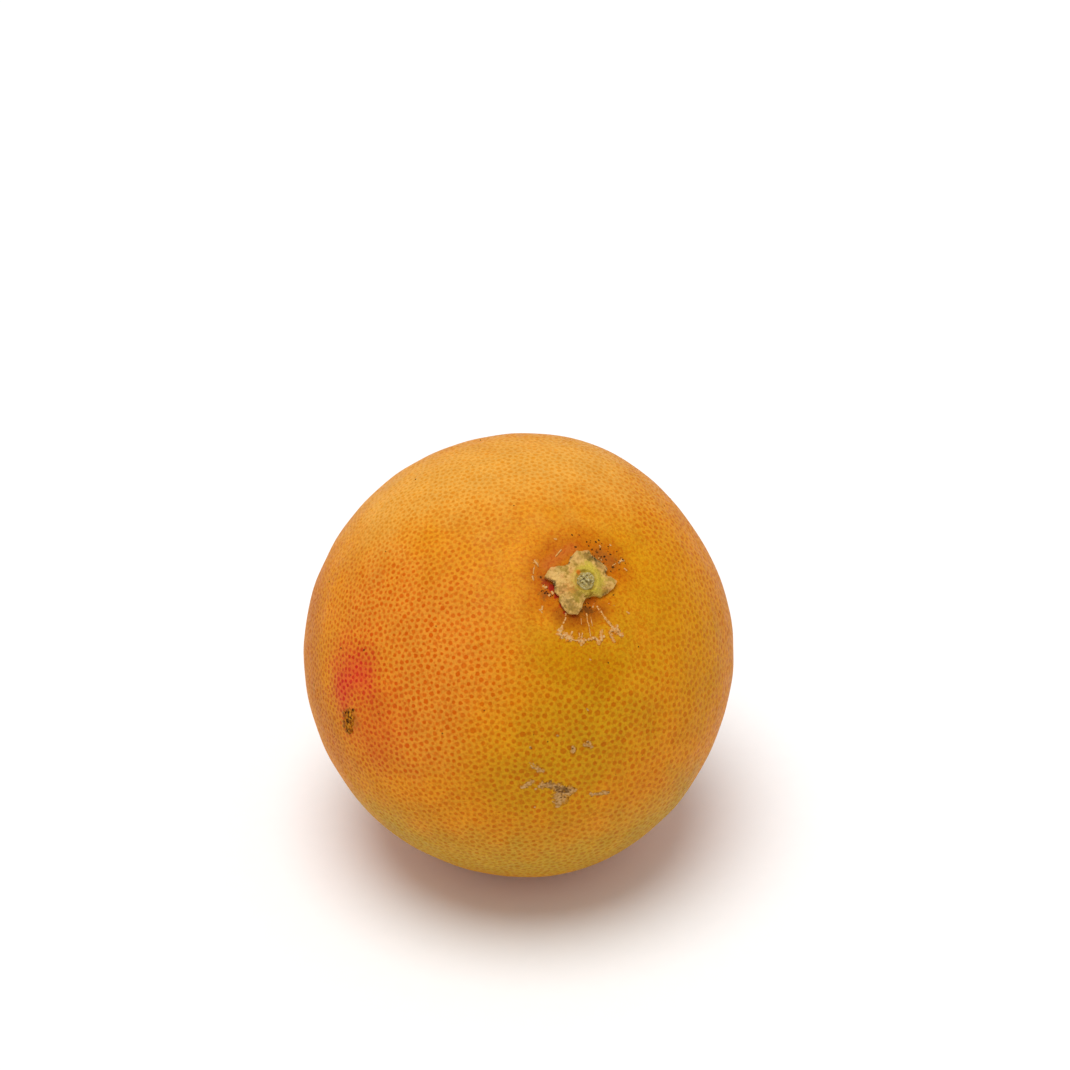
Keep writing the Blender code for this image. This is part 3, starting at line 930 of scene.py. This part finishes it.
# Raised corky threads and crumbs round the calyx: half of each one's width in millimetres, and the pixels
# along it
CORK_THREADS = (
    (0.36, ((566.3, 613), (563.9, 621.2), (561.4, 627), (560.8, 630))),
    (0.95, ((560.8, 627.8), (560.4, 632), (561.6, 636.8))),
    (0.50, ((562, 636.6), (566, 634.2))),
    (0.40, ((560.4, 630.8), (556.8, 630))),
    (0.30, ((562.6, 632.4), (565, 632.6), (567.8, 635))),
    (0.92, ((566.4, 636), (568.8, 637.2), (571, 639))),
    (0.25, ((569, 637), (572.8, 631.4))),
    (0.20, ((570, 638.6), (575, 640.4), (580, 640.4))),
    (0.82, ((579, 639.6), (581.2, 640.6), (583, 642.4))),
    (0.34, ((581, 641), (581.4, 645.6))),
    (0.20, ((580.2, 638.6), (579, 632.6))),
    (0.20, ((581.6, 638), (582.6, 632.6))),
    (0.26, ((583.4, 640.4), (586.8, 640.2))),
    (0.42, ((588.2, 639.8), (592.1, 637.8), (596.3, 638.6), (598.9, 641.1), (599, 644.6))),
    (0.36, ((602.4, 629.6), (600.9, 634.4), (602.1, 638.8), (601.2, 641.4))),
    (0.32, ((602.4, 637.4), (604.4, 635.4))),
    (0.34, ((597, 606), (601.2, 612), (605.4, 618.7), (610.4, 624.5), (614, 628))),
    (0.85, ((612.6, 627.8), (615.8, 629.6), (618.4, 631.8))),
    (0.30, ((615.8, 629), (617.6, 624.6))),
    (0.48, ((617, 631), (619.4, 634), (622.8, 636))),
    (0.34, ((613, 629.4), (609.3, 632.4), (612.2, 637), (614.8, 642.2))),
    (0.15, ((586.4, 613), (587.5, 620.5), (589.1, 626.9), (590.1, 632.6), (590.4, 636.8))),
    (0.11, ((590.6, 616.6), (592.4, 626.5))),
    (0.10, ((581, 618), (581.6, 625))),
    (0.16, ((592.3, 607.8), (594.8, 602), (599.3, 601.2))),
    (0.13, ((603.4, 604.8), (610.2, 603.3), (614.8, 606))),
    (0.20, ((625, 610.6), (629.6, 613.8))),
    (0.30, ((539.4, 610.4), (542.2, 609.2), (543, 606))),
    (0.20, ((540.4, 610.2), (542.6, 613))),
    (0.50, ((542.8, 586.4), (546.6, 587.2))),
    (0.36, ((551.2, 591.6), (553.8, 593.4))),
    (0.22, ((548.4, 596), (550.4, 594))),
    (0.48, ((534.6, 560.4), (537.2, 563.6))),
    (0.22, ((536.8, 562), (538.4, 566.8))),
    (0.14, ((534.6, 565), (533.2, 574))),
    (0.26, ((532.4, 575.8), (533.8, 580.4))),
    (0.26, ((553.6, 538.8), (557, 539.4))),
    (0.20, ((555.4, 556.6), (561.6, 549.6))),
    (0.36, ((618.6, 563), (621.6, 560.2), (624.2, 560.6))),
    (0.20, ((624, 568), (627.2, 571))),
    (0.30, ((599.4, 545), (600.4, 547.4))),
    (0.20, ((609.6, 544), (611.2, 545.8))),
    (0.22, ((598.2, 557.6), (602, 560.4))),
    (0.16, ((612, 566), (616, 563.4))),
    (0.14, ((589, 659), (591.4, 660.2))),
)
# Healed scabs lower on the peel, in the same form as the threads
SCABS = (
    (1.05, ((539.8, 785.8), (547.6, 784.4), (556, 786.8), (564.5, 789.4), (574.6, 790.6))),
    (0.80, ((556, 789.6), (563, 792.4), (570.6, 793.6))),
    (1.45, ((560.8, 788), (559.6, 796), (558.6, 805))),
    (0.62, ((521.5, 787.4), (527, 784.6), (533.3, 780.9))),
    (0.30, ((534.6, 789.6), (536.8, 788.2))),
    (0.60, ((528, 763.7), (534.8, 767.1), (543.3, 771.7))),
    (0.30, ((533, 763), (535.4, 768))),
    (0.25, ((529.4, 747), (531.8, 748.2))),
    (0.55, ((573, 746.6), (573.4, 752.4))),
    (0.45, ((583.6, 744.4), (588.4, 745.4), (592.8, 746.8))),
    (0.45, ((587.4, 741.4), (590.6, 744.4))),
    (0.52, ((589.9, 794.3), (598, 794), (609, 792.4))),
    (0.34, ((602, 791), (607, 793.8))),
    (0.24, ((534, 807), (536.4, 807.6))),
    (0.28, ((552, 801), (554.2, 802.4))),
    (0.26, ((556.6, 734.8), (559, 736))),
    (0.20, ((586.6, 708), (588.4, 711))),
    (0.30, ((313.8, 683), (314.2, 690.6))),
)
# The old dark wound by the blush, in the same form as the threads
WOUND = (
    (1.35, ((349.6, 712.6), (347.6, 721), (348.2, 731))),
    (0.60, ((350.6, 711.4), (354.2, 709.4))),
    (0.50, ((352.6, 716), (352.4, 725))),
)
# Dark middles of the scabs, in the same form as the peel's stains
SCAB_STAINS = (
    ((552.5, 785.2), 0.3, 1.1, 0.55, (112, 76, 38)),
    ((557.5, 787.4), 0.3, 1.0, 0.6, (96, 64, 30)),
    ((564.5, 789.6), 0.3, 1.2, 0.7, (86, 54, 24)),
    ((559, 792.4), 0.2, 0.9, 0.55, (104, 68, 32)),
)
SCAB_JAGGED = 1.0
# Marks on the sides that the photograph doesn't show, with longitude and angle from the stem
UNSEEN_SCABS = (
    (0.7, ((46, 84), (49, 85), (52, 87))),
    (0.4, ((52, 90), (54, 90.5))),
    (0.5, ((104, 112), (107, 111), (110, 111.5))),
    (0.9, ((14, 100), (16, 102), (17, 105))),
    (0.35, ((-12, 112), (-10, 113))),
    (0.45, ((172, 138), (175, 139.5))),
    (0.3, ((70, 124), (72, 125))),
)
# Dark specks that show one by one, most of them above and to the right of the calyx
DARK_SPECKS = (
    (572, 535), (579, 535), (588.8, 546), (595.8, 541.9), (598.8, 540.2), (597.1, 552.3), (600.4, 549),
    (610.4, 554.4), (607.9, 551.4), (612.9, 567.2), (610.8, 571.4), (619.1, 569.7), (618.7, 562.2),
    (622.8, 559.7), (586.7, 541.9), (575.5, 546.9), (603.7, 563.1), (600, 558.9), (597.1, 563.1),
    (540.7, 577.2), (545, 593), (547.4, 593.6), (556.4, 612), (613.3, 595), (608.3, 662.7), (341, 648),
    (364, 650), (542, 590.6), (550.6, 596.4), (604.4, 556.6), (592, 549.4), (594.6, 556), (606.4, 560),
    (554.6, 786.6), (566.4, 788.6), (559.6, 791.2), (561, 797.4), (351, 675), (598, 793.4),
)
# How many more specks lie anywhere on the peel, the seed, and in millimetres the radii of the small ones
# and of those in the table
SPECK_COUNT = 70
SPECK_SEED = 41
SMALL_SPECKS = (0.06, 0.14)
LARGE_SPECKS = (0.13, 0.27)
# Each speck's rings: their radius as a share of its own, and their height over the peel
SPECK_SPREAD = np.array((0.55, 0.9, 1.0, 0.7))
SPECK_LIFT = np.array((0.08, 0.06, 0.0, -0.2)) * MM
SPECK_TOP = 0.09 * MM
SPECK_FOOT = -0.25 * MM
SPECK_COLUMNS = 8
# Crowds of small specks: how many, the middle pixel, and how far they spread in pixels
SPECK_PATCHES = (
    (22, (601, 553), 8.0),
    (12, (546, 591), 4.5),
    (12, (590, 606), 4.0),
    (8, (620, 564), 4.0),
)
# The finish of each kind: pale and deep shades, the margin where it meets the peel, dark spots, and how
# much of the noise they take
CORK_FINISHES = {
    "cork": ((216, 170, 112), (202, 142, 70), (206, 122, 22), (150, 96, 46), 0.0),
    "scab": ((206, 160, 102), (172, 124, 66), (186, 122, 18), (104, 70, 32), 0.05),
    "wound": ((212, 138, 34), (142, 78, 4), (170, 88, 6), (50, 22, 2), 0.13),
    "speck": ((96, 58, 22), (56, 34, 14), (120, 70, 24), (34, 22, 12), 0.05),
}


def smooth_line(corners, step):
    """Points a step apart along a line through the corners, with its bends rounded off."""
    fewest, rounds = 8, 8
    length = np.concatenate(([0.0], np.cumsum(np.linalg.norm(np.diff(corners, axis=0), axis=1))))
    count = max(int(length[-1] / step), fewest)
    where = np.linspace(0, length[-1], count)
    line = np.stack([np.interp(where, length, corners[:, axis]) for axis in range(3)], axis=-1)
    for _ in range(rounds):
        line[1:-1] = 0.25 * line[:-2] + 0.5 * line[1:-1] + 0.25 * line[2:]
    return line, where


def raised_strip(ways, half_width, seed):
    """A closed low ridge on the peel along a line: at each point a flattened ring across it, whose upper
    half stands over the skin and whose lower half is sunk in it. Its width wanders, and both ends are
    round."""
    longer, rounding, side_step = 0.6, 1.6, 2 * MM
    half_width = half_width * MM
    corners = over_skin(ways, 0.0)
    ends = unit(corners[[1, -2]] - corners[[0, -1]]) * half_width * -longer
    corners[[0, -1]] = corners[[0, -1]] + ends
    line, where = smooth_line(corners, STRIP_STEP)
    along = unit(np.gradient(line, axis=0))
    sideways = unit(np.cross(along, unit(line)))
    to_end = np.minimum(where, where[-1] - where) / (rounding * half_width)
    width = half_width * np.sqrt(1 - (1 - np.clip(to_end, 0, 1)) ** 2)
    line, sideways, width = line[1:-1], sideways[1:-1], width[1:-1]

    turn = np.linspace(0, 2 * np.pi, STRIP_COLUMNS, endpoint=False)
    across, up = np.cos(turn), np.sin(turn)
    beside = line[:, None] + sideways[:, None] * across[:, None] * side_step
    frayed = 0.32 * cloud(beside, 1.1 * MM, seed) + 0.22 * cloud(beside, 0.4 * MM, seed + 2)
    offset = width[:, None] * across * (1 + frayed).clip(0.3, 1.9)
    spots = line[:, None] + sideways[:, None] * offset[..., None]
    bumps = 1 + 0.35 * cloud(spots, 0.5 * MM, seed + 1)
    crown = STRIP_HEIGHT * bumps * np.clip(width / half_width, 0.4, 1)[:, None]
    height = np.where(up > 0, crown * np.abs(up), STRIP_SUNK * up) - 0.02 * MM
    points = over_skin(unit(spots), height)
    first, last = over_skin(unit(line[[0, -1]]), -0.05 * MM)
    edge = np.broadcast_to(np.abs(across), height.shape)
    faces = closed_faces(len(points), STRIP_COLUMNS)
    return with_poles(first, points, last), faces, with_poles(1.0, edge, 1.0)


def join_bodies(name, bodies):
    """One object from several closed bodies, each with its points, its faces and a number a point."""
    points, threes, fours, edges, count = [], [], [], [], 0
    for body_points, (body_threes, body_fours), body_edge in bodies:
        points.append(body_points)
        threes.append(body_threes + count)
        fours.append(body_fours + count)
        edges.append(body_edge)
        count += len(body_points)
    piece = surface(name, np.concatenate(points), np.concatenate(threes), np.concatenate(fours))
    keep(piece, "edge", np.concatenate(edges))
    return piece


def make_strips(name, seed, seen, unseen=()):
    """One object from the strips of two tables. Each strip has seeds of its own for its noise."""
    next_strip, first_unseen = 7, 500
    bodies = []
    for place, table, start in ((cast, seen, seed), (angles, unseen, seed + first_unseen)):
        for i, (width, line) in enumerate(table):
            bodies.append(raised_strip(place(line), width, start + next_strip * i))
    return join_bodies(name, bodies)


def make_specks():
    """Low round grains on the peel: those that the photograph shows one by one, small crowds of them round
    the calyx, and a few anywhere. Each is rings of points that shrink upwards, over a sunk underside."""
    rng = np.random.default_rng(SPECK_SEED)
    crowds = [rng.normal(middle, spread, (count, 2)) for count, middle, spread in SPECK_PATCHES]
    near = cast(np.concatenate(crowds))
    far = unit(rng.normal(size=(SPECK_COUNT, 3)))
    ways = np.concatenate((cast(DARK_SPECKS), near, far))
    size = rng.uniform(*SMALL_SPECKS, len(ways)) * MM
    size[:len(DARK_SPECKS)] = rng.uniform(*LARGE_SPECKS, len(DARK_SPECKS)) * MM
    turn = np.linspace(0, 2 * np.pi, SPECK_COLUMNS, endpoint=False)
    side = unit(np.cross(ways, (0.31, 0.87, 0.39)))
    other = np.cross(ways, side)
    middle = over_skin(ways, 0.0)
    long_side = rng.uniform(0.7, 1.3, len(ways))[:, None] * np.cos(turn)
    wobble = 1 + 0.25 * np.sin(2 * turn + rng.uniform(0, 6, len(ways))[:, None])
    flat = long_side[..., None] * side[:, None] + np.sin(turn)[:, None] * other[:, None]
    flat = flat * (size[:, None] * wobble)[..., None]
    rings = unit(middle[:, None, None] + SPECK_SPREAD[:, None, None] * flat[:, None])
    points = over_skin(rings, SPECK_LIFT[:, None])
    top, foot = over_skin(ways, SPECK_TOP), over_skin(ways, SPECK_FOOT)
    faces = closed_faces(len(SPECK_SPREAD), SPECK_COLUMNS)
    edge = rng.uniform(0, 0.8, len(ways))
    shade = np.ones(len(SPECK_SPREAD) * SPECK_COLUMNS + 2)
    bodies = [(with_poles(top[i], points[i], foot[i]), faces, edge[i] * shade) for i in range(len(ways))]
    return join_bodies("dark_specks", bodies)


def finish_strips(piece, name, stains=()):
    """Cork of two shades with dark spots and stains, which turns to the margin's colour where it meets the
    peel."""
    pale, deep, margin, spots, spot_share = CORK_FINISHES[name]
    finish = Finish(name)
    mottle = finish.noise(0.55 * MM, 4.0)
    base = finish.mix(finish.ramp(mottle, 0.35, 0.65), colour(*deep), colour(*pale))
    dotted = finish.wander(0.8 * MM, 3.0, noise=(0.66 - spot_share, 0.72 - spot_share))
    base = finish.mix(dotted, base, colour(*spots))
    ragged = finish.wander(0.5 * MM, 3.0, noise=(0.2, 0.8), value=(-0.35, 0.35))
    rim = finish.sum("ADD", finish.stored("edge"), ragged)
    base = finish.mix(finish.ramp(rim, 0.35, 1.0, low=0.0, high=0.95), base, colour(*margin))
    if stains:
        base = finish.stained_at_pixels(base, stains, SCAB_JAGGED)
    roughness = finish.ramp(mottle, 0.3, 0.7, low=0.6, high=0.8)
    normal = finish.bump(finish.noise(0.2 * MM, 3.0), 0.03 * MM)
    finish.dress(piece, base, roughness, normal, specular=0.03)


# The studio: how strong the light from all round is, the place, strength and width in degrees of a soft
# sun high over the fruit, half of the floor's side in metres, and the two shades of its paper
WORLD_STRENGTH = 0.47
SUN_PLACE = (-0.1, -0.12, 1.2)
SUN_STRENGTH = 2.12
SUN_WIDTH = 38.0
FLOOR_HALF = 30.0
FLOOR_COLUMNS = 9
PAPER = ((248, 248, 248), (251, 251, 251))


def make_floor():
    """A level sheet in two directions, with the slightest grain, large enough to fill every view."""
    steps = np.linspace(-FLOOR_HALF, FLOOR_HALF, FLOOR_COLUMNS)
    x, y = np.meshgrid(steps, steps)
    points = np.stack((x, y, 0 * x), axis=-1).reshape(-1, 3)
    number = np.arange(FLOOR_COLUMNS ** 2).reshape(FLOOR_COLUMNS, FLOOR_COLUMNS)
    corners = (number[:-1, :-1], number[:-1, 1:], number[1:, 1:], number[1:, :-1])
    mesh = bpy.data.meshes.new("floor")
    mesh.from_pydata(points.tolist(), [], np.stack(corners, axis=-1).reshape(-1, 4).tolist())
    floor = bpy.data.objects.new("floor", mesh)
    bpy.context.scene.collection.objects.link(floor)
    finish = Finish("paper")
    fibre = finish.noise(4 * MM, 3.0)
    base = finish.mix(fibre, *(colour(*tone) for tone in PAPER))
    roughness = finish.ramp(fibre, 0.3, 0.7, low=0.85, high=0.95)
    finish.dress(floor, base, roughness, finish.bump(fibre, 0.02 * MM), specular=0.2)
    return floor


def add_sun():
    """A soft light from high over the fruit, aimed at its centre."""
    light = bpy.data.lights.new("key", "SUN")
    light.energy = SUN_STRENGTH
    light.angle = np.radians(SUN_WIDTH)
    lamp = bpy.data.objects.new("key", light)
    lamp.location = SUN_PLACE
    aim = Vector(tuple(CENTRE)) - Vector(SUN_PLACE)
    lamp.rotation_euler = aim.to_track_quat("-Z", "Y").to_euler()
    bpy.context.scene.collection.objects.link(lamp)


def set_studio():
    scene = bpy.context.scene
    scene.view_settings.view_transform = "Standard"
    world = bpy.data.worlds.new("studio")
    scene.world = world
    world.use_nodes = True
    background = world.node_tree.nodes["Background"]
    background.inputs["Color"].default_value = (1.0, 1.0, 1.0, 1.0)
    background.inputs["Strength"].default_value = WORLD_STRENGTH
    add_sun()
    make_floor()


def place_camera():
    place = camera_axes()[0]
    lens = bpy.data.cameras.new("camera")
    lens.sensor_width = SENSOR
    lens.lens = FOCAL_PIXELS / PHOTO_SIDE * SENSOR
    lens.clip_start = 0.01
    camera = bpy.data.objects.new("camera", lens)
    camera.location = CENTRE + place
    camera.rotation_euler = (np.radians(90 - CAMERA_DOWN), 0.0, np.radians(-CAMERA_HEADING))
    bpy.context.scene.collection.objects.link(camera)
    bpy.context.scene.camera = camera


def attach(piece, slot, *nodes):
    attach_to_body(piece, "root")
    if nodes:
        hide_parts(*nodes)


def main():
    place_camera()
    set_studio()

    peel = make_peel()
    finish_peel(peel)
    attach(peel, "peel", "fruit")

    calyx = make_calyx()
    finish_calyx(calyx)
    attach(calyx, "calyx", "calyx")

    stub = make_stub()
    finish_stub(stub)
    attach(stub, "stem_end", "stem_stub")

    threads = make_strips("cork_threads", THREAD_SEED, CORK_THREADS)
    finish_strips(threads, "cork")
    attach(threads, "peel")

    scabs = make_strips("peel_scabs", SCAB_SEED, SCABS, UNSEEN_SCABS)
    finish_strips(scabs, "scab", SCAB_STAINS)
    attach(scabs, "peel")

    wound = make_strips("old_wound", WOUND_SEED, WOUND)
    finish_strips(wound, "wound")
    attach(wound, "peel")

    specks = make_specks()
    finish_strips(specks, "speck")
    attach(specks, "peel")


main()
